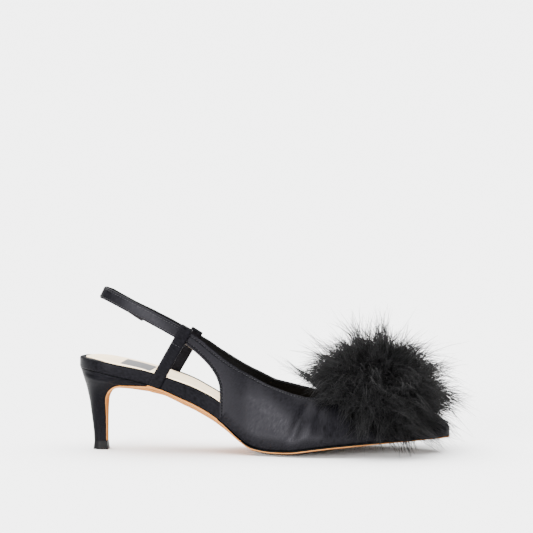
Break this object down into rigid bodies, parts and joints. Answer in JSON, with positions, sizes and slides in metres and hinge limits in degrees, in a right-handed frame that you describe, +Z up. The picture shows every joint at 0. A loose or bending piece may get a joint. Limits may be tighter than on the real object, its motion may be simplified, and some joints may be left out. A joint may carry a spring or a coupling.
{
  "type": "high heel shoe",
  "caption": "Slingback pump with a pointed toe, a kitten heel, side cut-outs and a feather pompom on the vamp.",
  "frame": {"origin": "middle of the heel tip's bottom face, on the floor", "axes": "+X from the heel to the toe, +Y towards the inner side of the foot, +Z up"},
  "size_m": [0.2531, 0.1185, 0.108],
  "materials": {
    "satin": "black satin, softly shining",
    "covered_heel": "moulded plastic covered with black satin",
    "covered_board": "leather board with black satin wrapped round its edge",
    "sole_leather": "smooth natural tan sole leather",
    "sock_leather": "matt cream lining leather",
    "top_piece": "hard matt black rubber",
    "feathers": "fluffy black marabou feathers"
  },
  "bodies": {
    "root": {"top_piece": "top_piece", "heel": "covered_heel", "outsole": "sole_leather", "insole_board": "covered_board", "sock_lining": "sock_leather", "upper": "satin", "sling_strap": "satin", "riser_lateral": "satin", "riser_medial": "satin", "pompom": "feathers"}
  },
  "joints": []
}
